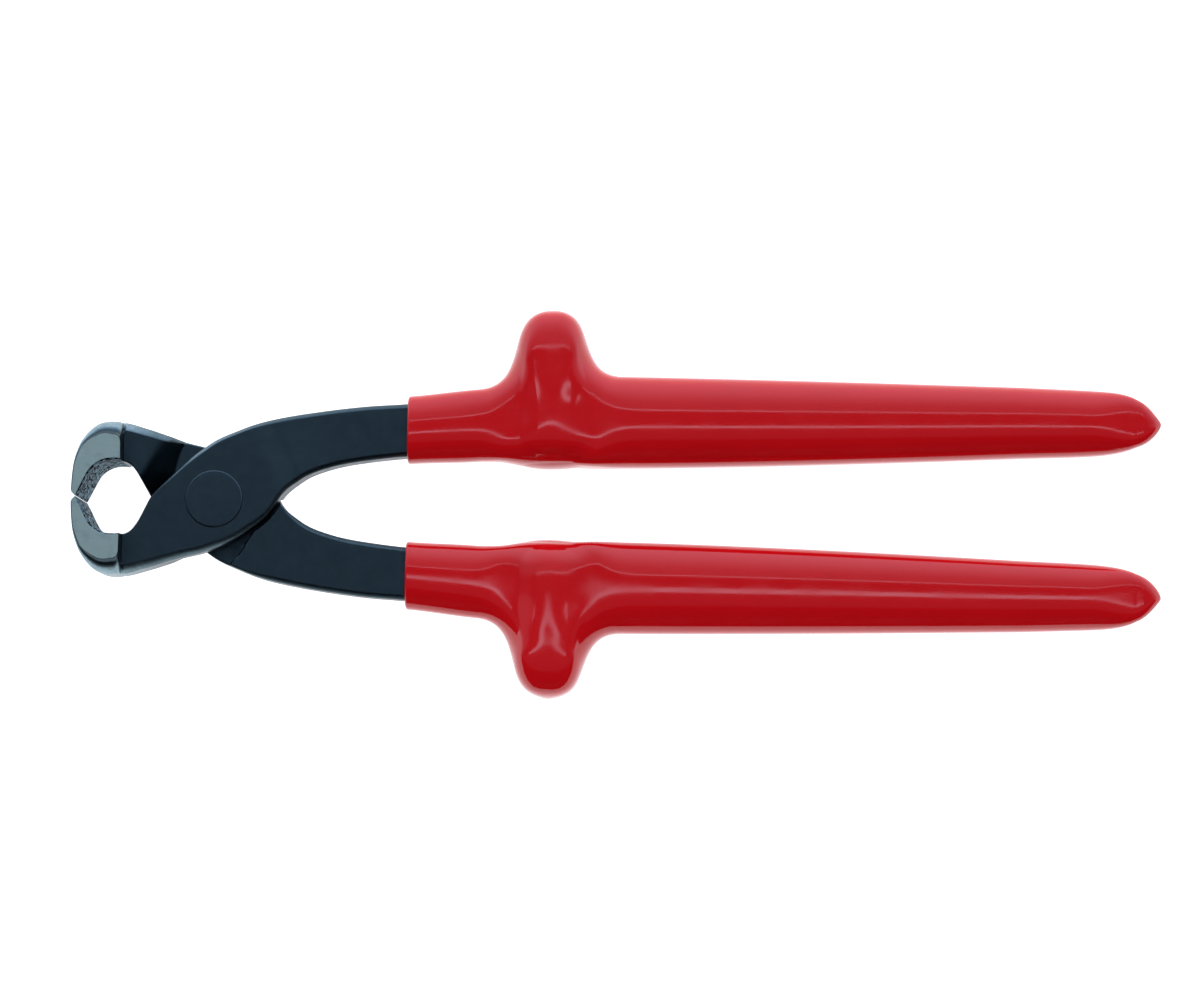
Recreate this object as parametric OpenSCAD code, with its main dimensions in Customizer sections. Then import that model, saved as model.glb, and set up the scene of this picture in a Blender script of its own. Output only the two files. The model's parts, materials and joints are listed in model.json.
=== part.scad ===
// Insulated end cutting nippers: two alike forged levers cross at one rivet, and each has a coated grip.
// Lengths are in millimetres and angles in degrees. The tool lies on its side, closed.
// X runs from the jaws to the ends of the grips, Y across the tool and Z up, along the rivet.
// The origin is on the surface that the tool lies on, under the middle of its box.
// A lever is drawn about the pivot with its jaw at minus Y, its arm at plus Y and its lap at plus Z.
// The rear lever and its grip are the front ones turned half round about the middle line.

/* [Head] */
// Distance from the pivot to the front faces of the jaws
jaw_reach = 33; // [31:0.5:37]
// Distance from the middle line to the outer back of a jaw
jaw_height = 18; // [16.5:0.5:21]
// Length of the cutting edges, which is the thickness of the jaws
cutting_w = 22; // [18:0.5:28]
// Depth of the throat, from the middle line into each jaw
throat_depth = 8.7; // [7:0.1:9.5]
// Distance of the cutting edges behind the front faces
edge_setback = 1; // [0.6:0.1:1.6]
// Height of the bevel on a front face, next to the cutting edge
front_bevel = 1.3; // [0.8:0.1:2]
// Width of the flat land on a cutting edge
edge_land = 0.24; // [0.16:0.02:0.5]
// Half of the light gap between the closed cutting edges
edge_gap = 0.12; // [0.05:0.01:0.3]
// Width of the bevel along the outer back of a jaw
jaw_bevel = 3.4; // [1.5:0.1:4]
// Depth of that bevel, down the outer back of the jaw
jaw_bevel_depth = 6; // [2:0.5:8]
// Width of the bevel along the back of a jaw's root
root_bevel = 1.6; // [0.6:0.1:2.4]

/* [Joint] */
// Width of a lap across the pivot
lap_w = 21.6; // [19:0.2:23]
// Direction of a lap's edges from the middle line
lap_heading = 44; // [40:1:50]
// Thickness of one lap
lap_t = 6.2; // [5:0.1:8]
// Running gap between the two laps
lap_gap = 0.1; // [0.05:0.01:0.3]
// Diameter of the rivet's shank
rivet_d = 10; // [7:0.5:11.5]
// Diameter of the rivet's heads
rivet_head_d = 13.4; // [12.2:0.2:16]
// Depth of the seat of a rivet head in its lever
rivet_seat = 2.2; // [1:0.1:3]
// Height of a rivet head above its lever
rivet_proud = 0.4; // [0.2:0.1:1]
// Bevel on the rim of a rivet head
rivet_bevel = 0.25; // [0.1:0.05:0.5]
// Clearance of the rivet in the front lever, which turns on it
running_clear = 0.05; // [0.02:0.01:0.1]
// Clearance of the rivet in the rear lever, which holds it
seat_clear = 0.02; // [0.01:0.01:0.05]

/* [Arms] */
// Distance from the pivot to the end of a bare arm
arm_len = 217; // [190:1:240]
// Width of an arm where it enters the grip
arm_w = 12.4; // [10:0.1:13.4]
// Width of an arm inside the guard
arm_guard_w = 11.6; // [9:0.2:12]
// Width of an arm near its end
arm_end_w = 8; // [6:0.2:8.6]
// Thickness of an arm where it enters the grip
arm_t = 8.4; // [6:0.2:9]
// Thickness of an arm near its end
arm_end_t = 5.6; // [4:0.2:6.2]
// Distance from the middle line to an arm's middle where it enters the grip
arm_spread = 16.9; // [15.5:0.05:18]
// Bevel along the edges of an arm
arm_bevel = 1; // [0.8:0.1:1.6]
// Length of the tapered end of an arm
arm_point = 8; // [5:0.5:12]
// Width of the smallest bevels, on the inner edges of the head
fine_bevel = 0.3; // [0.15:0.05:0.5]
// Run of a shoulder where the thickness changes
shoulder_run = 0.4; // [0.2:0.1:0.8]

/* [Grips] */
// Distance from the pivot to the front end of a sleeve
mouth_x = 45; // [42:0.5:50]
// Width of a sleeve at its front end
mouth_w = 16; // [15.4:0.1:18]
// Distance of a sleeve's middle outside the arm's middle at its front end
mouth_shift = 0.25; // [0:0.05:0.4]
// Thickness of a sleeve at its front end
mouth_t = 12.6; // [11.8:0.2:16]
// Length of the neck between a sleeve's front end and the guard's foot
neck_len = 17; // [12:0.5:20]
// Width of the neck at the guard's foot
neck_w = 17.1; // [15.8:0.1:19]
// Distance from the middle line to the neck's middle at the guard's foot
neck_spread = 18.5; // [17.5:0.1:19.5]
// Width of the grip behind the guard
grip_w = 21.6; // [18:0.2:23]
// Thickness of the grip behind the guard
grip_t = 16; // [13.6:0.2:19]
// Distance from the middle line to the grip's middle behind the guard
grip_spread = 19.55; // [18.6:0.05:20.5]
// Distance from the guard to the place where the grip is widest
grip_lag = 17; // [15:0.5:25]
// Width of the grip where its rounded end begins
grip_end_w = 16.8; // [14:0.2:19]
// Thickness of the grip where its rounded end begins
grip_end_t = 13.4; // [11.4:0.2:16]
// Distance from the middle line to the grip's middle at its end
end_spread = 20.45; // [19.5:0.05:23]
// Length of the rounded end
end_len = 33; // [20:1:36]
// Thickness of the coat past the end of the bare arm
end_cover = 5.5; // [5:0.1:9]
// Bevel on the rim of a sleeve's front end
mouth_rim = 0.5; // [0.2:0.1:0.8]
// Thickness of the base coat on the bare arm
base_coat_t = 0.6; // [0.3:0.1:0.8]
// Length of bare arm that the sleeve's lip closes on
lip_len = 3; // [1.5:0.5:6]

/* [Guard] */
// Distance from the pivot to the middle of the guard
guard_x = 78.7; // [76:0.1:84]
// Distance from the middle line to the tip of the guard's lobe
guard_reach = 45.9; // [40:0.1:50]
// Half length of the lobe along the grip
lobe_half = 9.2; // [8:0.1:10]
// Thickness of the guard
guard_t = 22; // [19:0.5:26]
// Half length of the ridge that the guard makes across the grip
ridge_half = 4.6; // [3:0.2:8]
// Half length of the swelling that the ridge stands on
swell_half = 9.5; // [7:0.5:12]
// Height of the guard's bulge on the inner side of the grip
inner_bulge = 1.1; // [0.4:0.1:1.6]
// Half length of the guard's core
core_half = 5.4; // [3.5:0.1:6]
// Thickness of the sleeve over the guard's core
core_cover = 1.4; // [0.9:0.1:1.5]

/* [Hidden] */

steel_black = "#1f2a33";
rivet_black = "#26323c";
coat_yellow = "#e2b62c";
core_white = "#d8d4c8";
sleeve_red = "#b5171d";

// Facets of a true circle, and points in each quarter of a grip's section
$fn = 64;
quarter_points = 6;
// Squareness of a sleeve's section, where 2 is an ellipse
section_power = 2.8;

lap_half = lap_w / 2;
lap_face = lap_gap / 2;
lap_top = lap_face + lap_t;
jaw_z = cutting_w / 2;
arm_z = arm_t / 2;
edge_x = -(jaw_reach - edge_setback);
throat_back = lap_half / sin(lap_heading);
throat_run = -edge_x - throat_back;
arm_inner = arm_spread - arm_w / 2;
arm_outer = arm_spread + arm_w / 2;
tip_x = arm_len + end_cover;
pivot_x = (jaw_reach - tip_x) / 2;
neck_x = mouth_x + neck_len;
grip_x = guard_x + grip_lag;
end_x = tip_x - end_len;
tip_bevel_share = 0.2;
tip_bevel = tip_bevel_share * edge_land;
cut_over = rivet_proud + rivet_seat;

// Outline of the head and arm, as shares of the sizes that each point follows
front_share = [0.988, 0.39];
chin_share = [0.945, 0.683];
heel_share = [0.855, 0.922];
back_share = [0.715, 1];
pad_share = [0.66, 0.992];
root_share = [0.485, 0.911];
shoulder_share = [0.303, 0.806];
throat_shares = [
    [0.05, 0.14],
    [0.2, 0.69],
    [0.32, 0.895],
    [0.44, 0.985],
    [0.54, 1],
    [0.63, 0.985],
    [0.8, 0.8],
    [0.91, 0.46]
];
lap_back_shares = [[-0.23, -1.157], [1.157, -0.343]];
lap_throat_shares = [[-1.265, 0.165], [-0.14, 1.172]];
crotch_shares = [[0.352, 0.11], [0.449, 0.455], [0.6, 0.733], [0.8, 0.902]];
flank_shares = [[0.144, 0.718], [0.311, 0.823], [0.533, 0.905], [0.778, 0.968]];
// Shares of the fall from the lap's thickness to the arm's
fall_shares = [0.05, 0.35, 0.8, 1];
chin_bevel_share = 0.5;

// Middle, width and thickness of a plain grip at places along the lever
mouth_spread = arm_spread + mouth_shift;
grip_spreads = [[mouth_x, mouth_spread], [neck_x, neck_spread], [grip_x, grip_spread], [end_x, end_spread]];
grip_widths = [[mouth_x, mouth_w], [neck_x, neck_w], [grip_x, grip_w], [end_x, grip_end_w]];
grip_depths = [[mouth_x, mouth_t], [neck_x, mouth_t], [grip_x, grip_t], [end_x, grip_end_t]];

// Inner edge, outer edge and half thickness of the bare arm at places inside the grip
guard_spread = lookup(guard_x, grip_spreads);
point_x = arm_len - arm_point;
point_w = arm_end_w - 2 * arm_bevel;
point_z = arm_end_t / 2 - arm_bevel / 2;
tang_inner = [
    [mouth_x, arm_inner],
    [guard_x, guard_spread - arm_guard_w / 2],
    [point_x, end_spread - arm_end_w / 2],
    [arm_len, end_spread - point_w / 2]
];
tang_outer = [
    [mouth_x, arm_outer],
    [guard_x, guard_spread + arm_guard_w / 2],
    [point_x, end_spread + arm_end_w / 2],
    [arm_len, end_spread + point_w / 2]
];
tang_z = [[mouth_x, arm_z], [guard_x, arm_z], [point_x, arm_end_t / 2], [arm_len, point_z]];

function heading_dir(heading) = [cos(heading), sin(heading)];
function ahead(point, heading, distance) = point + distance * heading_dir(heading);
function mixed(from, to, share) = from + share * (to - from);
function scaled_point(share, sizes) = [share.x * sizes.x, share.y * sizes.y];
function jaw_point(share) = scaled_point(share, [-jaw_reach, -jaw_height]);
function throat_point(share) = [edge_x + share.x * throat_run, -mixed(edge_gap, throat_depth, share.y)];
function tang_point(edge, x) = [x, lookup(x, edge)];
function fall_z(share) = mixed(lap_top, arm_z, share);

// Cubic between two points whose end directions are given, as long there as the chord
function swept(from, from_heading, to, to_heading, u) =
    let (chord = norm(to - from))
    (2 * u ^ 3 - 3 * u ^ 2 + 1) * from
    + (u ^ 3 - 2 * u ^ 2 + u) * chord * heading_dir(from_heading)
    + (3 * u ^ 2 - 2 * u ^ 3) * to
    + (u ^ 3 - u ^ 2) * chord * heading_dir(to_heading);

// Bevels of a lever's section, each a width and a depth:
// the back's top and bottom, then the throat's top and bottom
tip_cut = [tip_bevel, tip_bevel];
fine_cut = [fine_bevel, fine_bevel];
jaw_cut = [jaw_bevel, jaw_bevel_depth];
root_cut = [root_bevel, root_bevel];
arm_cut = [arm_bevel, arm_bevel];
tip_bevels = [tip_cut, tip_cut, tip_cut, tip_cut];
fine_bevels = [fine_cut, fine_cut, fine_cut, fine_cut];
chin_bevels = [chin_bevel_share * jaw_cut, chin_bevel_share * jaw_cut, fine_cut, fine_cut];
jaw_bevels = [jaw_cut, jaw_cut, fine_cut, fine_cut];
root_bevels = [root_cut, root_cut, fine_cut, fine_cut];
lap_bevels = [root_cut, fine_cut, fine_cut, fine_cut];
arm_bevels = [arm_cut, arm_cut, arm_cut, arm_cut];
lap_foot = lap_half * [sin(lap_heading), -cos(lap_heading)];
pad_back = jaw_point(pad_share);
pad_throat = throat_point(throat_shares[5]);
shoulder_back = jaw_point(shoulder_share);
shoulder_throat = throat_point(throat_shares[7]);
crotch = scaled_point(crotch_shares[0], [mouth_x, arm_inner]);
flank = scaled_point(flank_shares[0], [mouth_x, arm_outer]);

// Rows of a lever from the cutting edge to the end of the arm. Each has a point and heading on the back
// edge, a point and heading on the throat edge, the levels of the top and bottom faces, the four bevels
// and the number of steps to the next row.
lever_rows = [
    [
        [edge_x - edge_land / 2, -edge_gap], -128,
        [edge_x + edge_land / 2, -edge_gap], -58,
        jaw_z, -jaw_z, tip_bevels, 1
    ],
    [[-jaw_reach, -front_bevel], -89, throat_point(throat_shares[0]), -61, jaw_z, -jaw_z, fine_bevels, 3],
    [jaw_point(front_share), -83, throat_point(throat_shares[1]), -57, jaw_z, -jaw_z, fine_bevels, 3],
    [jaw_point(chin_share), -68, throat_point(throat_shares[2]), -32, jaw_z, -jaw_z, chin_bevels, 4],
    [jaw_point(heel_share), -42, throat_point(throat_shares[3]), -11, jaw_z, -jaw_z, jaw_bevels, 4],
    [jaw_point(back_share), 2, throat_point(throat_shares[4]), 0, jaw_z, -jaw_z, jaw_bevels, 2],
    [pad_back, 8, pad_throat, 12, jaw_z, -jaw_z, jaw_bevels, 1],
    [
        ahead(pad_back, 8, shoulder_run), 8,
        ahead(pad_throat, 12, shoulder_run), 12,
        lap_top, -lap_top, root_bevels, 5
    ],
    [jaw_point(root_share), 16, throat_point(throat_shares[6]), 51, lap_top, -lap_top, root_bevels, 3],
    [shoulder_back, 16, shoulder_throat, 64, lap_top, -lap_top, root_bevels, 1],
    [
        ahead(shoulder_back, 16, shoulder_run), 16,
        ahead(shoulder_throat, 64, shoulder_run), 64,
        lap_top, lap_face, lap_bevels, 4
    ],
    [
        lap_half * lap_back_shares[0], 19,
        lap_half * lap_throat_shares[0], 45,
        lap_top, lap_face, lap_bevels, 4
    ],
    [lap_foot, 38, -lap_foot, lap_heading, lap_top, lap_face, lap_bevels, 4],
    [
        lap_half * lap_back_shares[1], 48,
        lap_half * lap_throat_shares[1], 37,
        lap_top, lap_face, lap_bevels, 4
    ],
    [crotch, 54, flank, 23, fall_z(fall_shares[0]), lap_face, lap_bevels, 1],
    [
        ahead(crotch, 54, shoulder_run), 54,
        ahead(flank, 23, shoulder_run), 23,
        fall_z(fall_shares[0]), -arm_z, arm_bevels, 4
    ],
    [
        scaled_point(crotch_shares[1], [mouth_x, arm_inner]), 36,
        scaled_point(flank_shares[1], [mouth_x, arm_outer]), 13,
        fall_z(fall_shares[1]), -arm_z, arm_bevels, 4
    ],
    [
        scaled_point(crotch_shares[2], [mouth_x, arm_inner]), 17,
        scaled_point(flank_shares[2], [mouth_x, arm_outer]), 9,
        fall_z(fall_shares[2]), -arm_z, arm_bevels, 3
    ],
    [
        scaled_point(crotch_shares[3], [mouth_x, arm_inner]), 8,
        scaled_point(flank_shares[3], [mouth_x, arm_outer]), 6,
        fall_z(fall_shares[3]), -arm_z, arm_bevels, 2
    ],
    for (x = [mouth_x, guard_x, point_x, arm_len]) [
        tang_point(tang_inner, x), 5,
        tang_point(tang_outer, x), 5,
        lookup(x, tang_z), -lookup(x, tang_z), arm_bevels, 1
    ]
];

// Section of a lever between a point on the back edge and one on the throat edge, with bevelled corners
function lever_ring(back, throat, top, bottom, bevels) =
    let (across = (throat - back) / norm(throat - back))
    [
        [each back, bottom + bevels[1][1]],
        [each back + bevels[1][0] * across, bottom],
        [each throat - bevels[3][0] * across, bottom],
        [each throat, bottom + bevels[3][1]],
        [each throat, top - bevels[2][1]],
        [each throat - bevels[2][0] * across, top],
        [each back + bevels[0][0] * across, top],
        [each back, top - bevels[0][1]]
    ];

// Section of a lever between two rows, at a share of the way
function row_ring(row, next, u) = lever_ring(
    swept(row[0], row[1], next[0], next[1], u),
    swept(row[2], row[3], next[2], next[3], u),
    mixed(row[4], next[4], u),
    mixed(row[5], next[5], u),
    mixed(row[6], next[6], u)
);

lever_rings = [
    for (i = [0 : len(lever_rows) - 2])
        for (step = [0 : lever_rows[i][7] - 1])
            row_ring(lever_rows[i], lever_rows[i + 1], step / lever_rows[i][7]),
    let (last = lever_rows[len(lever_rows) - 1])
        lever_ring(last[0], last[2], last[4], last[5], last[6])
];

// Middle of the box around a ring
function ring_middle(ring) = [
    for (axis = [0 : 2])
        let (places = [for (point = ring) point[axis]])
        (min(places) + max(places)) / 2
];

// Two triangles of a patch between two rings, cut along its shorter diagonal,
// so that pieces that share rings meet face to face
function patch(points, a, b, c, d) =
    norm(points[a] - points[c]) < norm(points[b] - points[d])
    ? [[a, b, c], [a, c, d]]
    : [[a, b, d], [b, c, d]];

// Walls from each of the first rings to the ring after it, where the ring after the last is the first
function ring_walls(points, count, rings) =
    let (total = len(points))
    [
        for (i = [0 : rings - 1])
            for (j = [0 : count - 1])
                let (a = i * count + j, b = i * count + (j + 1) % count)
                each patch(points, a, b, (b + count) % total, (a + count) % total)
    ];

// Closed surface through a row of rings with the same number of points, with flat ends
module skin(rings) {
    count = len(rings[0]);
    last = len(rings) - 1;
    first_middle = len(rings) * count;
    last_middle = first_middle + 1;
    points = [for (ring = rings) each ring, ring_middle(rings[0]), ring_middle(rings[last])];
    faces = [
        for (j = [0 : count - 1]) [(j + 1) % count, j, first_middle],
        each ring_walls(points, count, last),
        for (j = [0 : count - 1]) [last * count + j, last * count + (j + 1) % count, last_middle]
    ];
    polyhedron(points, faces);
}

// Closed surface through a row of rings whose last meets its first
module skin_loop(rings) {
    points = [for (ring = rings) each ring];
    polyhedron(points, ring_walls(points, len(rings[0]), len(rings)));
}

// Smooth run of a value along the grip: places with values, eased with level ends between them
function eased(x, table) =
    let (i = max([for (k = [0 : len(table) - 2]) if (k == 0 || x >= table[k][0]) k]))
    let (u = min(1, max(0, (x - table[i][0]) / (table[i + 1][0] - table[i][0]))))
    mixed(table[i][1], table[i + 1][1], u * u * (3 - 2 * u));

// Size of the grip: eased up to its widest place, and from there in a slowly growing taper to the tip
taper_power = 1.35;
function taper_share(x) = ((x - grip_x) / (end_x - grip_x)) ^ taper_power;
function tapered(x, table) =
    x < grip_x ? eased(x, table) : mixed(table[2][1], table[3][1], taper_share(x));

// Shape of the lobe along the grip: a dome with steep flanks on a low wide skirt
lobe_skirt_share = 0.15;
lobe_dome_share = 0.42;
lobe_flank_power = 10;
skirt_width_share = 1.35;
skirt_power = 6;
function lobe_rise(u) =
    lobe_skirt_share / (1 + abs(u / skirt_width_share) ^ skirt_power)
    + (1 - lobe_skirt_share) * max(0, 1 - lobe_dome_share * u ^ 2) / (1 + abs(u) ^ lobe_flank_power);

// Shape of the guard along the grip's faces: a narrow ridge on a wide swelling
ridge_power = 1.5;
swell_power = 4;
swell_share = 0.4;
function ridge_rise(x) = 1 / (1 + ((x - guard_x) / ridge_half) ^ 2) ^ ridge_power;
function swell_rise(x) = 1 / (1 + abs((x - guard_x) / swell_half) ^ swell_power);

// The rounded end narrows slowly at first and then to a blunt point
end_power = 4.5;
point_power = 0.6;
function end_share(x) = x <= end_x ? 1 : max(0, 1 - ((x - end_x) / end_len) ^ end_power) ^ point_power;

function grip_middle(x) =
    x < grip_x ? lookup(x, grip_spreads) : mixed(grip_spread, end_spread, min(1, taper_share(x)));
function plain_half_w(x) = end_share(x) * tapered(x, grip_widths) / 2;
function plain_half_t(x) = end_share(x) * tapered(x, grip_depths) / 2;
lobe_h = guard_reach - grip_middle(guard_x) - plain_half_w(guard_x);
ridge_h = guard_t / 2 - plain_half_t(guard_x);
function sleeve_out(x) = plain_half_w(x) + lobe_h * lobe_rise((x - guard_x) / lobe_half);
function sleeve_in(x) = plain_half_w(x) + inner_bulge * swell_rise(x);
function sleeve_half_t(x) = plain_half_t(x) + ridge_h * mixed(ridge_rise(x), swell_rise(x), swell_share);

// Rounded section of a grip about its middle, with a half width for either side,
// drawn from the outer side up
function round_ring(x, middle, outer_half, inner_half, half_t) = [
    for (k = [0 : 4 * quarter_points - 1])
        let (angle = 90 * k / quarter_points, c = cos(angle), s = sin(angle))
        [
            x,
            middle + (c > 0 ? outer_half : inner_half) * sign(c) * abs(c) ^ (2 / section_power),
            half_t * sign(s) * abs(s) ^ (2 / section_power)
        ]
];

// Bevelled section of the bare arm, grown by a coat's thickness, with the same points as a rounded one
function arm_ring(x, at, grow) =
    let (
        inner = lookup(at, tang_inner) - grow,
        outer = lookup(at, tang_outer) + grow,
        half_t = lookup(at, tang_z) + grow,
        last = quarter_points - 1
    )
    [
        for (quarter = [0 : 3])
            for (k = [0 : last])
                let (u = k / last, outside = quarter == 0 || quarter == 3, above = quarter < 2)
                let (side = (quarter % 2 == 0 ? u : 1 - u) * arm_bevel, level = arm_bevel - side)
                [
                    x,
                    outside ? outer - side : inner + side,
                    (above ? 1 : -1) * (half_t - level)
                ]
    ];

function sleeve_ring(x, inset) =
    round_ring(x, grip_middle(x), sleeve_out(x) - inset, sleeve_in(x) - inset, sleeve_half_t(x) - inset);

// The core lies under the sleeve and rounds off towards its two faces
core_round_share = 0.8;
function core_ring(u) =
    let (x = guard_x + u * core_half, cover = core_cover * (1 + core_round_share * u ^ 2))
    round_ring(
        x, grip_middle(x), sleeve_out(x) - cover, sleeve_in(x) - core_cover, sleeve_half_t(x) - core_cover
    );

lip_x = mouth_x + lip_len;
coat_end = arm_len + base_coat_t;
core_shares = [-1, -0.75, -0.4, 0, 0.4, 0.75, 1];
core_front = guard_x - core_half;
core_rear = guard_x + core_half;

// Places of the sleeve's rings, as shares of its neck, the lobe's half length, the grip and its rounded end
neck_shares = [0.25, 0.6, 0.85];
lobe_shares = [-1.5, -1.32, -1.17, -1.07, -1, -0.93, -0.85, -0.75, -0.6, -0.35, 0];
grip_shares = [0, 0.2, 0.45, 0.7, 1];
end_shares = [0.15, 0.3, 0.45, 0.6, 0.72, 0.82, 0.9, 0.95, 0.985, 0.999];
sleeve_places = [
    for (share = neck_shares) mixed(mouth_x, guard_x + lobe_shares[0] * lobe_half, share),
    for (share = lobe_shares) guard_x + share * lobe_half,
    for (i = [len(lobe_shares) - 2 : -1 : 0]) guard_x - lobe_shares[i] * lobe_half,
    for (share = grip_shares) mixed(grip_x, end_x, share),
    for (share = end_shares) mixed(end_x, tip_x, share)
];

module lever() skin(lever_rings);

module bored_lever(clear) {
    difference() {
        lever();
        translate([0, 0, -cut_over]) cylinder(d = rivet_d + 2 * clear, h = lap_top + 2 * cut_over);
        translate([0, 0, lap_top - rivet_seat])
            cylinder(d = rivet_head_d + 2 * clear, h = rivet_seat + cut_over);
    }
}

module rivet_half() {
    rotate_extrude()
        polygon([
            [0, 0],
            [rivet_d / 2, 0],
            [rivet_d / 2, lap_top - rivet_seat + lap_face],
            [rivet_head_d / 2, lap_top - rivet_seat + lap_face],
            [rivet_head_d / 2, lap_top + rivet_proud - rivet_bevel],
            [rivet_head_d / 2 - rivet_bevel, lap_top + rivet_proud],
            [0, lap_top + rivet_proud]
        ]);
}

module base_coat() {
    skin([
        for (x = [arm_len, point_x, guard_x, lip_x]) arm_ring(x, x, 0),
        for (x = [lip_x, guard_x, point_x]) arm_ring(x, x, base_coat_t),
        arm_ring(coat_end, arm_len, base_coat_t)
    ]);
}

module guard_core() {
    skin_loop([
        for (x = [core_rear, guard_x, core_front]) arm_ring(x, x, base_coat_t),
        for (u = core_shares) core_ring(u)
    ]);
}

module sleeve() {
    skin([
        arm_ring(coat_end, arm_len, base_coat_t),
        for (x = [point_x, core_rear]) arm_ring(x, x, base_coat_t),
        for (u = core_shares) core_ring(-u),
        for (x = [core_front, lip_x]) arm_ring(x, x, base_coat_t),
        for (x = [lip_x, mouth_x]) arm_ring(x, x, 0),
        sleeve_ring(mouth_x, mouth_rim),
        sleeve_ring(mouth_x + mouth_rim, 0),
        for (x = sleeve_places) sleeve_ring(x, 0)
    ]);
}

module on_front() translate([pivot_x, 0, jaw_z]) children();
module on_rear() translate([pivot_x, 0, jaw_z]) rotate([180, 0, 0]) children();

module front_lever() color(steel_black) on_front() bored_lever(running_clear);
module rear_lever() color(steel_black) on_rear() bored_lever(seat_clear);
module pivot_rivet() {
    color(rivet_black) {
        on_front() rivet_half();
        on_rear() rivet_half();
    }
}
module front_base_coat() color(coat_yellow) on_front() base_coat();
module rear_base_coat() color(coat_yellow) on_rear() base_coat();
module front_guard_core() color(core_white) on_front() guard_core();
module rear_guard_core() color(core_white) on_rear() guard_core();
module front_sleeve() color(sleeve_red) on_front() sleeve();
module rear_sleeve() color(sleeve_red) on_rear() sleeve();

front_lever();
rear_lever();
pivot_rivet();
front_base_coat();
rear_base_coat();
front_guard_core();
rear_guard_core();
front_sleeve();
rear_sleeve();
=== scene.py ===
import json

import bpy
import numpy as np
from mathutils import Matrix, Quaternion, Vector


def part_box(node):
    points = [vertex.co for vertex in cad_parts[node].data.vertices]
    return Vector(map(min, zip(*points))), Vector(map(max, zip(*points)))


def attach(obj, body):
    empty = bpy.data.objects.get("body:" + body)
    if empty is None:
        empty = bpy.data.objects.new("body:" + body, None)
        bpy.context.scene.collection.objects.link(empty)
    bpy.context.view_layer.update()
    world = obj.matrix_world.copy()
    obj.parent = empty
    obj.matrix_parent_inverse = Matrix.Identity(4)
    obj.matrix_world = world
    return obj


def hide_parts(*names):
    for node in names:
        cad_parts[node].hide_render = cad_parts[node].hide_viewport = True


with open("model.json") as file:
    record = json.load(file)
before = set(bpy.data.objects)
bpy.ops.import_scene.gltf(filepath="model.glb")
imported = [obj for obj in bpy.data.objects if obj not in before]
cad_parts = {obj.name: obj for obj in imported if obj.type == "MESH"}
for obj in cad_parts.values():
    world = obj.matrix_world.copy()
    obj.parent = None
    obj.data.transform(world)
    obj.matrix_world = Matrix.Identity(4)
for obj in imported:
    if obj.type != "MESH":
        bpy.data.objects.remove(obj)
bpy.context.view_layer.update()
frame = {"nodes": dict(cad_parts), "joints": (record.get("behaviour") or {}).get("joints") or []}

MM = 0.001
HINGE = frame["joints"][0]
PIVOT = np.array(HINGE["pos_m"])
OPENING = HINGE["range_deg"][1]


def about_pivot(node):
    """Lowest and highest corner of a CAD node about the pivot, in millimetres."""
    low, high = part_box(node)
    return (np.array(low) - PIVOT) / MM, (np.array(high) - PIVOT) / MM


LEVER_LOW, LEVER_HIGH = about_pivot("front_lever")
SLEEVE_LOW, SLEEVE_HIGH = about_pivot("front_sleeve")
RIVET_HIGH = about_pivot("pivot_rivet")[1]
CORE_LOW, CORE_HIGH = about_pivot("front_guard_core")

# Main sizes, which follow the CAD
JAW_REACH = -LEVER_LOW[0]
JAW_Z = LEVER_HIGH[2]
ARM_LEN = LEVER_HIGH[0]
MOUTH_X = SLEEVE_LOW[0]
TIP_X = SLEEVE_HIGH[0]
GUARD_REACH = SLEEVE_HIGH[1]
GUARD_Z = SLEEVE_HIGH[2]
RIVET_TOP = RIVET_HIGH[2]
HEAD_RADIUS = RIVET_HIGH[0]
CORE_HALF = (CORE_HIGH[0] - CORE_LOW[0]) / 2
GUARD_X = (CORE_HIGH[0] + CORE_LOW[0]) / 2


# Meshes

def smooth(u):
    """S curve from 0 to 1: 3u squared minus 2u cubed."""
    return u * u * (3 - 2 * u)


def ring_faces(rings, count):
    """Four-sided faces between each ring of points and the next, round a closed ring."""
    start = np.arange(rings - 1)[:, None] * count
    near = np.arange(count)[None, :]
    far = np.roll(near, -1, axis=1)
    corners = (start + near, start + far, start + count + far, start + count + near)
    return np.stack(corners, axis=-1).reshape(-1, 4)


def turned(points, rear):
    """Points about the pivot in millimetres, as places in metres, with the rear half turned over about X."""
    sides = np.array([1, -1, -1]) if rear else np.ones(3)
    return PIVOT + points * sides * MM


def tube_mesh(name, rings, materials, face_slots=None):
    """Closed mesh through rings of points, shaped (rings, points, 3), with a flat face at either end."""
    total, count = rings.shape[:2]
    points = rings.reshape(-1, 3)
    quads = ring_faces(total, count)
    middle = rings.mean(axis=(0, 1))
    first, second, third, fourth = (points[quads[:, corner]] - middle for corner in range(4))
    volume = np.einsum("ij,ij->", np.cross(first, second), third)
    volume = volume + np.einsum("ij,ij->", np.cross(first, third), fourth)
    caps = [np.arange(count)[::-1], np.arange(count) + (total - 1) * count]
    if volume < 0:
        quads = quads[:, ::-1]
        caps = [cap[::-1] for cap in caps]
    mesh = bpy.data.meshes.new(name)
    mesh.from_pydata(points.tolist(), [], quads.tolist() + [cap.tolist() for cap in caps])
    for material in materials:
        mesh.materials.append(material)
    if face_slots is not None:
        slots = np.concatenate([face_slots.reshape(-1), [0, 0]]).astype(np.int32)
        mesh.polygons.foreach_set("material_index", slots)
    mesh.shade_smooth()
    return mesh


def add_piece(mesh, body, node):
    """Object for a mesh that rides a body and stands for a CAD node."""
    piece = bpy.data.objects.new(mesh.name, mesh)
    bpy.context.scene.collection.objects.link(piece)
    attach(piece, body)
    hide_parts(node)
    return piece


# Materials

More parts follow.
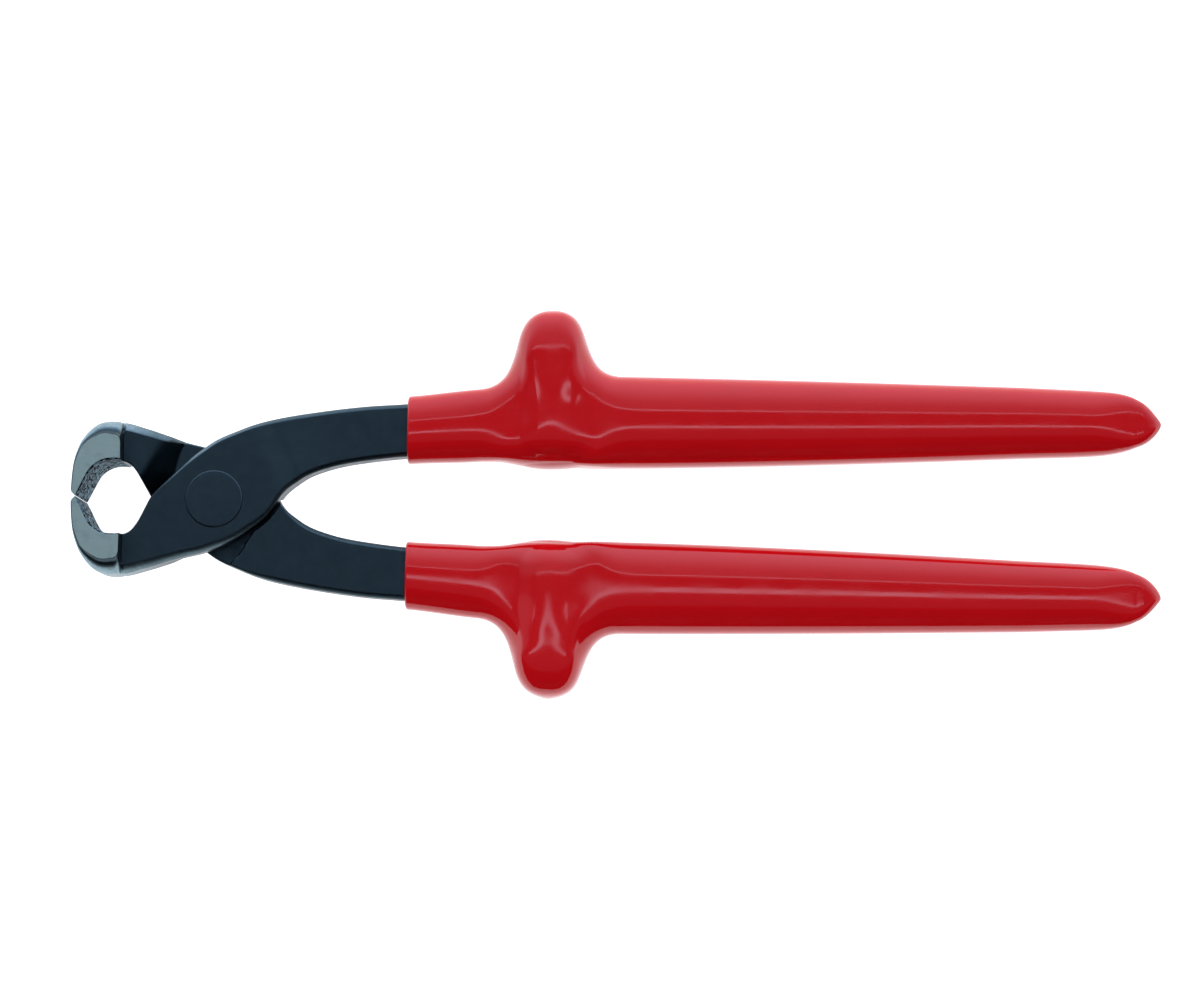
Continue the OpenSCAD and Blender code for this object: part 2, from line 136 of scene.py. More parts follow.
def linear(hex_colour):
    """Linear colour of an sRGB hex code."""
    code = hex_colour.lstrip("#")
    shares = np.array([int(code[i:i + 2], 16) for i in (0, 2, 4)]) / 255
    low = shares / 12.92
    high = ((shares + 0.055) / 1.055) ** 2.4
    return (*np.where(shares <= 0.04045, low, high).tolist(), 1.0)


def put(tree, kind, inputs=None, **settings):
    """Adds a node. Settings are its properties, and inputs give a value or a socket to link for each name."""
    node = tree.nodes.new(kind)
    for name, value in settings.items():
        setattr(node, name, value)
    for name, value in (inputs or {}).items():
        if isinstance(value, bpy.types.NodeSocket):
            tree.links.new(value, node.inputs[name])
        else:
            node.inputs[name].default_value = value
    return node


def new_material(name):
    """Empty node material with its output, and the object coordinates of the piece that has it."""
    material = bpy.data.materials.new(name)
    material.use_nodes = True
    tree = material.node_tree
    tree.nodes.clear()
    place = put(tree, "ShaderNodeTexCoord").outputs["Object"]
    return material, tree, place


def finish_material(tree, shader):
    """Links a shader to the material's output."""
    put(tree, "ShaderNodeOutputMaterial", {"Surface": shader.outputs[0]})


def noise(tree, place, size_mm, detail=3.0, roughness=0.5):
    """Noise whose patches are about as large as the given length in millimetres."""
    inputs = {"Vector": place, "Scale": 1 / (size_mm * MM), "Detail": detail, "Roughness": roughness}
    return put(tree, "ShaderNodeTexNoise", inputs).outputs["Fac"]


def ramp(tree, value, low, high, to_low=0.0, to_high=1.0):
    """Runs a value from one range smoothly to another."""
    inputs = {"Value": value, "From Min": low, "From Max": high, "To Min": to_low, "To Max": to_high}
    return put(tree, "ShaderNodeMapRange", inputs, interpolation_type="SMOOTHSTEP").outputs["Result"]


def blend(tree, share, first, second):
    """Colour between two colours or sockets, at a share."""
    inputs = {0: share, 6: first, 7: second}
    return put(tree, "ShaderNodeMix", inputs, data_type="RGBA").outputs[2]


def black_oxide_forged_steel():
    """Forged, tumbled and blackened steel. The eye sees a blue-black satin skin with faint mottling, and a
    paler blue where bevels were ground before blackening. The paler blue also stands for painted edge
    highlights and a painted reflection of the floor, following the point attribute bright."""
    material, tree, place = new_material("black_oxide_forged_steel")
    bright = put(tree, "ShaderNodeAttribute", attribute_name="bright").outputs["Fac"]
    skin = blend(tree, noise(tree, place, 4), linear("#334349"), linear("#3c4d54"))
    # The paler blue is painted from the attribute bright and mottled by noise: partly ground bevels and wear,
    # partly painted highlight and painted reflection
    scuff_and_sheen = ramp(tree, noise(tree, place, 0.9, 6, 0.7), 0.36, 0.62, 0.72, 1.0)
    share = put(tree, "ShaderNodeMath", {0: bright, 1: scuff_and_sheen}, operation="MULTIPLY").outputs[0]
    colour = blend(tree, share, skin, linear("#8ba3aa"))
    # Forging scale is a few hundredths of a millimetre deep
    scale = noise(tree, place, 0.6, 4)
    bump = put(tree, "ShaderNodeBump", {"Height": scale, "Strength": 0.25, "Distance": 0.02 * MM})
    inputs = {
        "Base Color": colour,
        "Metallic": 1.0,
        "Roughness": ramp(tree, noise(tree, place, 1.5), 0.3, 0.7, 0.36, 0.46),
        "Normal": bump.outputs["Normal"],
    }
    finish_material(tree, put(tree, "ShaderNodeBsdfPrincipled", inputs))
    return material


def surface_ground_steel():
    """Jaw side ground flat after blackening. The eye sees matt grey steel with fine straight lines."""
    material, tree, place = new_material("surface_ground_steel")
    # Real grinding lines, 0.05 mm apart, are too fine for the picture, so these are coarser
    lines = put(tree, "ShaderNodeMapping", {"Vector": place, "Rotation": (0, 0, 0.5), "Scale": (0.06, 1, 1)})
    grain = noise(tree, lines.outputs["Vector"], 0.22, 4, 0.6)
    colour = blend(tree, grain, linear("#aec6be"), linear("#c3d8ce"))
    stain = ramp(tree, noise(tree, place, 2.5, 5), 0.5, 0.72, 0.0, 0.3)
    colour = blend(tree, stain, colour, linear("#98a8a8"))
    bump = put(tree, "ShaderNodeBump", {"Height": grain, "Strength": 0.3, "Distance": 0.01 * MM})
    inputs = {
        "Base Color": colour,
        "Metallic": 1.0,
        "Roughness": 0.58,
        "Normal": bump.outputs["Normal"],
    }
    finish_material(tree, put(tree, "ShaderNodeBsdfPrincipled", inputs))
    return material


def shot_blasted_steel():
    """Throat wall left rough by milling and blasting. The eye sees pale blue bare grains, half a millimetre
    wide, between grains still black with scale, which isn't metal."""
    material, tree, place = new_material("shot_blasted_steel")
    grains = put(tree, "ShaderNodeTexVoronoi", {"Vector": place, "Scale": 1 / (0.55 * MM)}, feature="F1")
    tone = put(tree, "ShaderNodeSeparateColor", {"Color": grains.outputs["Color"]}).outputs[0]
    patches = ramp(tree, tone, 0.46, 0.66)
    colour = blend(tree, patches, linear("#0a1014"), linear("#7496a6"))
    bump = put(tree, "ShaderNodeBump", {"Height": tone, "Strength": 0.5, "Distance": 0.1 * MM})
    inputs = {
        "Base Color": colour,
        "Metallic": patches,
        # The pits between the bare grains trap light, so they reflect less than a smooth face
        "Specular IOR Level": ramp(tree, tone, 0.46, 0.66, 0.08, 0.5),
        "Roughness": ramp(tree, tone, 0.2, 0.8, 0.9, 0.6),
        "Normal": bump.outputs["Normal"],
    }
    finish_material(tree, put(tree, "ShaderNodeBsdfPrincipled", inputs))
    return material


def black_oxide_turned_steel():
    """Rivet head faced on a lathe and blackened. The eye sees the levers' blue-black, a little smoother, with
    a faint paler blue painted on the head's rim as a painted highlight.
    """
    material, tree, place = new_material("black_oxide_turned_steel")
    bright = put(tree, "ShaderNodeAttribute", attribute_name="bright").outputs["Fac"]
    skin = blend(tree, noise(tree, place, 2.5), linear("#35454c"), linear("#3e4f58"))
    # A small share of pale blue painted where bright is high, a painted highlight on the rim
    share = put(tree, "ShaderNodeMath", {0: bright, 1: 0.12}, operation="MULTIPLY").outputs[0]
    colour = blend(tree, share, skin, linear("#9db6c2"))
    marks = noise(tree, place, 0.5)
    bump = put(tree, "ShaderNodeBump", {"Height": marks, "Strength": 0.15, "Distance": 0.02 * MM})
    inputs = {
        "Base Color": colour,
        "Metallic": 1.0,
        "Roughness": ramp(tree, noise(tree, place, 1.2), 0.3, 0.7, 0.34, 0.42),
        "Normal": bump.outputs["Normal"],
    }
    finish_material(tree, put(tree, "ShaderNodeBsdfPrincipled", inputs))
    return material


def dipped_red_vinyl():
    """Outer coat dipped in liquid vinyl and cured. The eye sees deep glossy red with slow, low waves."""
    material, tree, place = new_material("dipped_red_vinyl")
    colour = blend(tree, noise(tree, place, 18), linear("#bd0910"), linear("#c60b13"))
    waves = noise(tree, place, 9, 1)
    bump = put(tree, "ShaderNodeBump", {"Height": waves, "Strength": 0.1, "Distance": 0.08 * MM})
    inputs = {
        "Base Color": colour,
        "Roughness": ramp(tree, noise(tree, place, 6), 0.3, 0.7, 0.06, 0.1),
        "IOR": 1.52,
        "Normal": bump.outputs["Normal"],
    }
    finish_material(tree, put(tree, "ShaderNodeBsdfPrincipled", inputs))
    return material


def dipped_yellow_vinyl():
    """Thin first coat on the arm. The eye sees satin yellow where the coat is cut or taken apart."""
    material, tree, place = new_material("dipped_yellow_vinyl")
    colour = blend(tree, noise(tree, place, 12), linear("#dcae26"), linear("#e8bd33"))
    inputs = {
        "Base Color": colour,
        "Roughness": ramp(tree, noise(tree, place, 3), 0.3, 0.7, 0.3, 0.4),
        "IOR": 1.52,
    }
    finish_material(tree, put(tree, "ShaderNodeBsdfPrincipled", inputs))
    return material


def moulded_natural_plastic():
    """Injection moulded collar without dye. The eye sees a milky, slightly grainy off-white."""
    material, tree, place = new_material("moulded_natural_plastic")
    colour = blend(tree, noise(tree, place, 8), linear("#d2cdbf"), linear("#ddd9cd"))
    inputs = {
        "Base Color": colour,
        "Roughness": ramp(tree, noise(tree, place, 0.8), 0.3, 0.7, 0.42, 0.52),
        "IOR": 1.5,
    }
    finish_material(tree, put(tree, "ShaderNodeBsdfPrincipled", inputs))
    return material


def opal_light_table():
    """Opal sheet lit from below that the tool lies on. The eye sees even white with next to no shadow."""
    material, tree, place = new_material("opal_light_table")
    colour = blend(tree, noise(tree, place, 40), linear("#b4b4b4"), linear("#b8b8b8"))
    inputs = {
        "Base Color": colour,
        "Roughness": ramp(tree, noise(tree, place, 2), 0.3, 0.7, 0.85, 0.95),
        "IOR": 1.45,
        "Emission Color": linear("#fdfdff"),
        "Emission Strength": 1.1,
    }
    finish_material(tree, put(tree, "ShaderNodeBsdfPrincipled", inputs))
    return material


# Levers

LAP_TOP = 6.25
LAP_FACE = 0.05
ARM_Z = 4.2
FALL = LAP_TOP - ARM_Z
BROW_DROP = 1.2
SHOULDER_RUN = 0.7
SWEPT_GAP = 0.25
SWEPT_POSES = 41
PAD_ROUND = 1.4
PAD_ROUND_INSET = 1.5
JAW_DEEPER = 0.7
CORNER_POWER = 1.35
CORNER_POINTS = 15
FACE_POINTS = 40
WALL_POINTS = 14
TAPER_X = ARM_LEN - 8
ARM_BEVEL = 1
RIVET_RADIUS = 5
SEAT_DEPTH = 2.2
SEAT_GAP = 0.05
RUNNING_CLEARANCE = 0.05
PRESSED_CLEARANCE = 0.02
CUTTER_LOW = -8
CUTTER_HIGH = LAP_TOP + 3
ROUND_POINTS = 128

# Rows of a lever from the cutting edge to the end of the arm, in millimetres about the pivot:
# back edge x, y and heading, throat edge x, y and heading, level of the top and the bottom,
# bevels of the back's top and bottom and the throat's top and bottom, steps to the next row
LEVER_ROWS = np.array([
    [-JAW_REACH + 0.88, -0.12, -128, -31.88, -0.12, -58, JAW_Z, -JAW_Z, 0.05, 0.05, 0.05, 0.05, 5],
    [-JAW_REACH, -1.3, -89, -31.18, -1.32, -61, JAW_Z, -JAW_Z, 0.3, 0.3, 0.3, 0.3, 12],
    [-32.6, -7.02, -83, -28.71, -6.04, -57, JAW_Z, -JAW_Z, 0.3, 0.3, 0.3, 0.3, 16],
    [-31.19, -12.29, -68, -26.74, -7.8, -32, JAW_Z, -JAW_Z, 0.9, 0.9, 0.3, 0.3, 18],
    [-28.2, -16.6, -42, -24.76, -8.57, -11, JAW_Z, -JAW_Z, 2.7, 2.7, 0.3, 0.3, 20],
    [-23.6, -18, 2, -23.12, -8.7, 0, JAW_Z, -JAW_Z, 3.6, 3.6, 0.3, 0.3, 14],
    [-21.78, -17.86, 8, -21.64, -8.57, 12, JAW_Z, -JAW_Z, 3.6, 3.6, 0.3, 0.3, 12],
    [-21.19, -17.78, 8, -21.05, -8.45, 12, LAP_TOP, -LAP_TOP, 2, 2, 0.3, 0.3, 12],
    [-16, -16.4, 16, -18.84, -6.98, 51, LAP_TOP, -LAP_TOP, 1.8, 1.8, 0.3, 0.3, 30],
    [-10, -14.5, 16, -17.03, -4.07, 64, LAP_TOP, BROW_DROP - LAP_TOP, 1.6, 1.6, 0.3, 0.3, 20],
    [-6.73, -13.56, 16, -16.15, -2.27, 64, LAP_TOP, LAP_FACE, 1.6, 0.3, 0.3, 0.3, 18],
    [-2.48, -12.5, 19, -13.66, 1.78, 45, LAP_TOP, LAP_FACE, 1.5, 0.3, 0.35, 0.3, 14],
    [7.5, -7.77, 38, -7.5, 7.77, 44, LAP_TOP, LAP_FACE, 1.2, 0.3, 0.6, 0.3, 28],
    [12.5, -3.7, 48, -1.51, 12.66, 37, LAP_TOP, LAP_FACE, 0.9, 0.3, 0.8, 0.3, 30],
    [15.84, 1.18, 54, 6.48, 16.59, 23, LAP_TOP - 0.05 * FALL, LAP_FACE, 0.9, 0.3, 0.8, 0.3, 40],
    [20.2, 4.87, 36, 14, 19.01, 13, LAP_TOP - 0.35 * FALL, -ARM_Z, 1, 1, 1, 1, 10],
    [27, 7.84, 17, 24, 20.9, 9, LAP_TOP - 0.8 * FALL, -ARM_Z, 1, 1, 1, 1, 10],
    [36, 9.65, 8, 35, 22.36, 6, ARM_Z, -ARM_Z, 1, 1, 1, 1, 8],
    [MOUTH_X, 10.7, 5, MOUTH_X, 23.1, 5, ARM_Z, -ARM_Z, 1, 1, 1, 1, 1],
    [GUARD_X, 13.22, 5, GUARD_X, 24.82, 5, ARM_Z, -ARM_Z, 1, 1, 1, 1, 1],
    [TAPER_X, 16.45, 5, TAPER_X, 24.45, 5, 2.8, -2.8, 1, 1, 1, 1, 1],
    [ARM_LEN, 17.45, 5, ARM_LEN, 23.45, 5, 2.3, -2.3, 1, 1, 1, 1, 0],
])
BACK, BACK_HEADING = slice(0, 2), 2
THROAT, THROAT_HEADING = slice(3, 5), 5
LEVELS, BEVELS, STEPS = slice(6, 8), slice(8, 12), 12
# Rows at the pad's step, the shoulder's brow and foot, the full lap, the crotch, the arm and the sleeve
PAD_ROW = 6
SHOULDER_ROW = 9
FOOT_ROW = 10
LAP_ROW = 12
CROTCH_ROW = 14
ARM_ROW = 16
MOUTH_ROW = 18
# Runs of points round a lever's section
BACK_CORNERS = [0, 6]
CORNERS = [0, 2, 4, 6]
FACES = [1, 5]
THROAT_RUNS = [2, 3, 4]
THROAT_TOP = 4
BACK_WALL = 7
# The foot of the pad's edge: its share of a jaw's rounded corner, the arc up to it, its inset and its height
PAD_FOOT_SHARE = 0.62
PAD_FOOT_ARC = np.radians(76)
PAD_FOOT_INSET = 0.74
PAD_FOOT_HEIGHT = 0.76
# Material slots of a lever
FORGED, GROUND, BLASTED = 0, 1, 2


def edge_curve(near, near_heading, far, far_heading, u):
    """Cubic Hermite curve between two points with given headings in degrees. Its end tangents are as long
    as the chord."""
    chord = np.linalg.norm(far - near, axis=1)[:, None]
    near_heading, far_heading = np.radians(near_heading), np.radians(far_heading)
    leave = np.stack([np.cos(near_heading), np.sin(near_heading)], axis=1) * chord
    reach = np.stack([np.cos(far_heading), np.sin(far_heading)], axis=1) * chord
    u = u[:, None]
    return (
        (2 * u ** 3 - 3 * u ** 2 + 1) * near + (u ** 3 - 2 * u ** 2 + u) * leave
        + (3 * u ** 2 - 2 * u ** 3) * far + (u ** 3 - u ** 2) * reach
    )


def swept_radius(turn, edge):
    """Radius about the pivot that an edge of the other lever reaches at an angle from plus X, in any pose.
    That lever is this one turned over, so what passes there is the edge at minus the angle, less how far the
    tool is open. The largest radius of that stretch counts."""
    turns = np.degrees(np.unwrap(np.arctan2(edge[:, 1], edge[:, 0])))
    turns = turns - 360 * np.round(turns.mean() / 360)
    order = np.argsort(turns)
    radii = np.hypot(edge[:, 0], edge[:, 1])
    passing = -turn[..., None] - np.linspace(0, OPENING, SWEPT_POSES)
    return np.interp(passing, turns[order], radii[order]).max(axis=-1)


def lever_section():
    """Points of a lever's section, in eight runs: corner, bottom, corner, throat wall, corner, top, corner
    and back wall. Each has its share of the way from back to throat and from bottom to top, its inset along
    the face and drop down the wall in bevel widths, its share of the way from wall to face, and its run. A
    corner is a quarter of the curve where x and y to the corner's power sum to 1, which is close to a bevel
    but leaves both faces smoothly."""
    angle = np.linspace(0, np.pi / 2, CORNER_POINTS)
    inset = 1 - np.cos(angle) ** (2 / CORNER_POWER)
    drop = 1 - np.sin(angle) ** (2 / CORNER_POWER)
    inset[-1], drop[0] = 1, 1
    corner = angle / (np.pi / 2)
    across = np.linspace(0, 1, FACE_POINTS)[1:-1]
    up = np.linspace(0, 1, WALL_POINTS)[1:-1]
    flat, wall = np.zeros_like(across), np.zeros_like(up)
    ones = np.ones_like(angle)
    to_throat = [0 * ones, across, ones, wall + 1, ones, across[::-1], 0 * ones, wall]
    to_top = [0 * ones, flat, 0 * ones, up, ones, flat + 1, ones, up[::-1]]
    insets = [inset, flat + 1, inset[::-1], wall, inset, flat + 1, inset[::-1], wall]
    drops = [drop, flat, drop[::-1], wall + 1, drop, flat, drop[::-1], wall + 1]
    corners = [corner, flat + 1, corner[::-1], wall, corner, flat + 1, corner[::-1], wall]
    run = np.concatenate([np.full(len(points), number) for number, points in enumerate(to_top)])
    return [np.concatenate(points) for points in (to_throat, to_top, insets, drops, corners)] + [run]


def lever_stations():
    """Stations along a lever: place along the rows, back and throat edge, levels and bevels. The edges are
    Hermite curves, straight inside the grip. Levels fall in a quarter ellipse at the pad's step, over a brow
    that rounds off with the sixth power at the shoulder of the lap, and in an S at the crotch."""
    steps = LEVER_ROWS[:-1, STEPS].astype(int)
    row = np.append(np.repeat(np.arange(len(steps)), steps), len(steps) - 1)
    first = np.cumsum(steps) - steps
    u = np.append((np.arange(steps.sum()) - first[row[:-1]]) / steps[row[:-1]], 1.0)
    near, far = LEVER_ROWS[row], LEVER_ROWS[row + 1]
    back = edge_curve(near[:, BACK], near[:, BACK_HEADING], far[:, BACK], far[:, BACK_HEADING], u)
    throat = edge_curve(near[:, THROAT], near[:, THROAT_HEADING], far[:, THROAT], far[:, THROAT_HEADING], u)
    straight = row >= MOUTH_ROW
    between = near + u[:, None] * (far - near)
    back[straight] = between[straight, BACK]
    throat[straight] = between[straight, THROAT]
    fall = np.where(row == PAD_ROW, np.sqrt(1 - (1 - u) ** 2), u)
    fall = np.where(row == SHOULDER_ROW - 1, u ** 6, fall)
    fall = np.where(row == CROTCH_ROW, smooth(u), fall)[:, None]
    levels = near[:, LEVELS] + fall * (far - near)[:, LEVELS]
    return row + u, back, throat, levels, between[:, BEVELS]


def shoulder_levels(plan, along, back, throat, low):
    """Levels of a lever's underside with its two shoulders. At the arm's root it drops in an S just outside
    what the other lever sweeps as it opens. At the jaw's root it slopes evenly from the line of the brow to
    what the other lap sweeps."""
    reach = np.hypot(plan[..., 0], plan[..., 1])
    turn = np.degrees(np.arctan2(plan[..., 1], plan[..., 0]))
    arc = swept_radius(turn, back[(along > SHOULDER_ROW - 1) & (along < ARM_ROW)]) + SWEPT_GAP
    arm_root = ((along > LAP_ROW) & (along < MOUTH_ROW))[:, None]
    step = smooth(np.clip((reach - arc) / SHOULDER_RUN, 0, 1)) * arm_root
    low = low + step * np.minimum(0, -ARM_Z - low)

    # Angles from minus 270 to 90 degrees, which don't jump within the jaw's root
    around = np.where(turn > 90, turn - 360, turn)
    foot = swept_radius(around, throat[(along >= FOOT_ROW) & (along < ARM_ROW)]) + SWEPT_GAP
    start, end = LEVER_ROWS[SHOULDER_ROW, BACK], LEVER_ROWS[SHOULDER_ROW, THROAT]
    outward = np.array([start[1] - end[1], end[0] - start[0]]) / np.linalg.norm(end - start)
    brow = reach * (outward @ start) / np.maximum(plan @ outward, 1)
    slope = np.clip((reach - foot) / (brow - foot), 0, 1)
    jaw_root = ((along > SHOULDER_ROW) & (along < LAP_ROW))[:, None]
    return np.where(jaw_root, LAP_FACE + slope * (BROW_DROP - LAP_TOP - LAP_FACE), low)


def pad_corner(corner):
    """Inset and drop of a jaw's outer corner, which rounds off in an ellipse to a foot, and from there rises
    in an S to the ground pad."""
    climb = np.clip((corner - PAD_FOOT_SHARE) / (1 - PAD_FOOT_SHARE), 0, 1)
    arc = np.minimum(corner / PAD_FOOT_SHARE, 1) * PAD_FOOT_ARC
    along_face = PAD_FOOT_INSET * (1 - np.cos(arc)) / (1 - np.cos(PAD_FOOT_ARC))
    inset = along_face + (1 - PAD_FOOT_INSET) * climb
    drop = (1 - PAD_FOOT_HEIGHT * np.sin(arc) / np.sin(PAD_FOOT_ARC)) * (1 - smooth(climb))
    return inset, drop


def lever_rings():
    """Points of a lever, one ring for each station. A point lies at its shares of the way from the back to
    the throat edge and from the lower to the upper level, less its inset and drop times the bevels there."""
    along, back, throat, levels, bevels = lever_stations()
    to_throat, to_top, inset, drop, corner, run = (values[None, :] for values in lever_section())

    # The pad's edge is strongest along the jaw's outer back, and gone at the cutting edge and past the step
    pad = np.interp(along, [2.2, 3.2, PAD_ROW, PAD_ROW + 1], [0, 1, 1, 0])[:, None]
    # The pad's corner is round in plan over a short way before the step
    to_step = np.abs(back[:, 0] - LEVER_ROWS[PAD_ROW, 0])
    near_step = np.clip(1 - to_step / PAD_ROUND, 0, 1) * (along <= PAD_ROW)
    bevels[:, :2] += (PAD_ROUND_INSET * (1 - np.sqrt(1 - near_step ** 2)))[:, None]
    pad_inset, pad_drop = pad_corner(corner)
    share = pad * np.isin(run, BACK_CORNERS)
    inset = inset + share * (pad_inset - inset)
    drop = drop + share * (pad_drop - drop)
    # Inside the grip the corners are plain bevels, as the coat's are
    plain = (along >= MOUTH_ROW)[:, None] & np.isin(run, CORNERS)
    inset = np.where(plain, corner, inset)
    drop = np.where(plain, 1 - corner, drop)

    across = (throat - back) / np.linalg.norm(throat - back, axis=1)[:, None]
    back_high, back_low, throat_high, throat_low = np.split(bevels, 4, axis=1)
    back_bevel = np.where(to_top > 0.5, back_high, back_low)
    throat_bevel = np.where(to_top > 0.5, throat_high, throat_low)
    from_back = back[:, None, :] + (inset * back_bevel)[..., None] * across[:, None, :]
    from_throat = throat[:, None, :] - (inset * throat_bevel)[..., None] * across[:, None, :]
    plan = (1 - to_throat)[..., None] * from_back + to_throat[..., None] * from_throat

    # The jaw's back is rounded deeper than wide
    drop = drop * (1 + JAW_DEEPER * pad * np.isin(run, BACK_CORNERS + [BACK_WALL]))
    low = shoulder_levels(plan, along, back, throat, levels[:, 1:2])
    low = low + drop * np.where(to_throat < 0.5, back_low, throat_low)
    high = levels[:, 0:1] - drop * np.where(to_throat < 0.5, back_high, throat_high)
    level = (1 - to_top) * low + to_top * high
    return np.concatenate([plan, level[..., None]], axis=-1), along, run[0], corner[0]


def lever_looks(rings, along, run, corner):
    """How bright each point of a lever is painted, and which material each face has. Bright is 1 on the jaw's
    outer bevel, partly a bevel ground before blackening and partly a painted reflection of the pale floor,
    and thins out along the head's back edge and the edges of the laps, where it is a painted edge highlight
    with some wear."""
    x = rings[..., 0]
    edge = np.sin(np.pi * corner)[None, :] ** 0.5
    groove = np.clip((0.58 - corner) / 0.14, 0, 1)[None, :]
    back = np.isin(run, BACK_CORNERS)[None, :]
    # On the jaw's outer bevel and back wall the paler paint is partly ground steel and partly a painted
    # reflection of the pale floor
    jaw = np.interp(x, [-33, -31, -21, -14, 4, 14], [0.6, 1, 0.9, 0.34, 0.3, 0])
    wall = np.interp(x, [-33, -30, -20, -12], [0.7, 1, 0.8, 0])
    # Painted highlight, with some wear, along the lever's top edge on the throat side
    throat_edge_highlight = np.interp(x, [-16, -9, -1, 12, 45], [0, 0.4, 0.5, 0.18, 0.08])
    bright = np.where(back, jaw * np.where(x < -21, groove, edge), 0)
    bright = bright + np.where((run == BACK_WALL)[None, :], wall, 0)
    bright = bright + np.where((run == THROAT_TOP)[None, :], throat_edge_highlight * edge, 0)
    # Painted highlight, with some wear, along the arm's back edges
    bright = bright + np.where(back & (x > 12), 0.12 * edge, 0)

    station = along[:-1, None]
    face = np.isin(run, FACES)[None, :] | np.isin(np.roll(run, -1), FACES)[None, :]
    jaw_side = face & (station < PAD_ROW)
    throat = np.isin(run, THROAT_RUNS)[None, :] & (station < PAD_ROW) & ~jaw_side
    slots = np.where(throat, BLASTED, np.where(jaw_side | (station < 1), GROUND, FORGED))
    return np.clip(bright, 0, 1), slots


def round_rings(radii, levels):
    """Rings of a profile carried round the pivot's axis: radius times the cosine and sine of the angle."""
    angle = np.linspace(0, 2 * np.pi, ROUND_POINTS, endpoint=False)
    x = radii[:, None] * np.cos(angle)
    y = radii[:, None] * np.sin(angle)
    z = np.broadcast_to(levels[:, None], x.shape)
    return np.stack([x, y, z], axis=-1)


def rivet_hole(clear):
    """Cutter for a lever's bore and head seat, a profile carried round the pivot."""
    seat = LAP_TOP - SEAT_DEPTH
    radii = np.array([RIVET_RADIUS, RIVET_RADIUS, HEAD_RADIUS, HEAD_RADIUS]) + clear
    return round_rings(radii, np.array([CUTTER_LOW, seat, seat, CUTTER_HIGH]))


def add_lever(name, rear, body, node, clear, materials):
    """A forged lever: the closed mesh through its rings, less the cutter for its bore and head seat."""
    rings, along, run, corner = lever_rings()
    bright, slots = lever_looks(rings, along, run, corner)
    mesh = tube_mesh(name, turned(rings, rear), materials, slots)
    attribute = mesh.attributes.new("bright", "FLOAT", "POINT")
    attribute.data.foreach_set("value", bright.reshape(-1).astype(np.float32))
    piece = add_piece(mesh, body, node)
    hole_mesh = tube_mesh("hole", turned(rivet_hole(clear), rear), [materials[FORGED]])
    hole = bpy.data.objects.new("hole", hole_mesh)
    bpy.context.scene.collection.objects.link(hole)
    cut = piece.modifiers.new("bore", "BOOLEAN")
    cut.operation = "DIFFERENCE"
    cut.solver = "EXACT"
    cut.object = hole
    evaluated = piece.evaluated_get(bpy.context.evaluated_depsgraph_get())
    bored = bpy.data.meshes.new_from_object(evaluated)
    piece.modifiers.clear()
    piece.data = bored
    bored.name = name
    bpy.data.objects.remove(hole)
    bpy.data.meshes.remove(hole_mesh)
    bpy.data.meshes.remove(mesh)
    bored.set_sharp_from_angle(angle=np.radians(32))


# Rivet

HEAD_DOME = 0.06
HEAD_RIM = 0.3
WAIST = 0.5


def rivet_profile():
    """Radii and levels of the rivet's upper half from the middle of its head to its waist. The head's top is
    a low dome, its rim a quarter round, and its underside sits just above the seat."""
    across = np.linspace(0.04, 1, 12)
    dome_radii = across * (HEAD_RADIUS - HEAD_RIM)
    dome_levels = RIVET_TOP - HEAD_DOME * across ** 2
    angle = np.linspace(0, np.pi / 2, 10)[1:]
    rim_radii = HEAD_RADIUS - HEAD_RIM + HEAD_RIM * np.sin(angle)
    rim_levels = RIVET_TOP - HEAD_DOME - HEAD_RIM * (1 - np.cos(angle))
    under = LAP_TOP - SEAT_DEPTH + SEAT_GAP
    radii = np.concatenate([dome_radii, rim_radii, [HEAD_RADIUS, RIVET_RADIUS, RIVET_RADIUS]])
    levels = np.concatenate([dome_levels, rim_levels, [under, under, WAIST]])
    return radii, levels


def add_rivet(name, body, node, material):
    """The rivet: one half's profile and the other half's, carried round the axis."""
    radii, levels = rivet_profile()
    rings = round_rings(np.concatenate([radii, radii[::-1]]), np.concatenate([levels, -levels[::-1]]))
    mesh = tube_mesh(name, turned(rings, False), [material])
    reach = np.hypot(rings[..., 0], rings[..., 1])
    # Painted highlight on the rounded rim of both heads, carried in the attribute bright
    rim = np.clip((reach - HEAD_RADIUS + HEAD_RIM) / (HEAD_RIM / 2), 0, 1) * (np.abs(rings[..., 2]) > LAP_TOP)
    attribute = mesh.attributes.new("bright", "FLOAT", "POINT")
    attribute.data.foreach_set("value", rim.reshape(-1).astype(np.float32))
    mesh.set_sharp_from_angle(angle=np.radians(40))
    add_piece(mesh, body, node)


# Sleeves

NECK_X = MOUTH_X + 17
GRIP_X = GUARD_X + 17
END_LEN = 33
END_X = TIP_X - END_LEN
GRIP_PLACES = np.array([MOUTH_X, NECK_X, GRIP_X, END_X])
GRIP_SPREADS = np.array([17.15, 18.5, 19.55, 20.45])
GRIP_HALF_WIDTHS = np.array([8, 8.55, 10.8, 8.4])
GRIP_HALF_DEPTHS = np.array([6.3, 6.3, 8, 6.7])
LOBE_HALF = 9.2
RIDGE_HALF = 4.6
SWELL_HALF = 9.5
SECTION_POWER = 2.8
SECTION_POINTS = 144
COAT = 0.6
LIP_X = MOUTH_X + 3
COAT_END = ARM_LEN + COAT
CORE_COVER = 1.4
MOUTH_RIM = 0.6
CLOSE_FROM = 60
CLOSE_TO = 102
# Powers of the rounded end: in the CAD, and here outwards, inwards and in thickness
CAD_END = (4.5, 0.6)
OUTER_END = (8.5, 1.25)
INNER_END = (6, 0.8)
DEPTH_END = (5, 0.85)


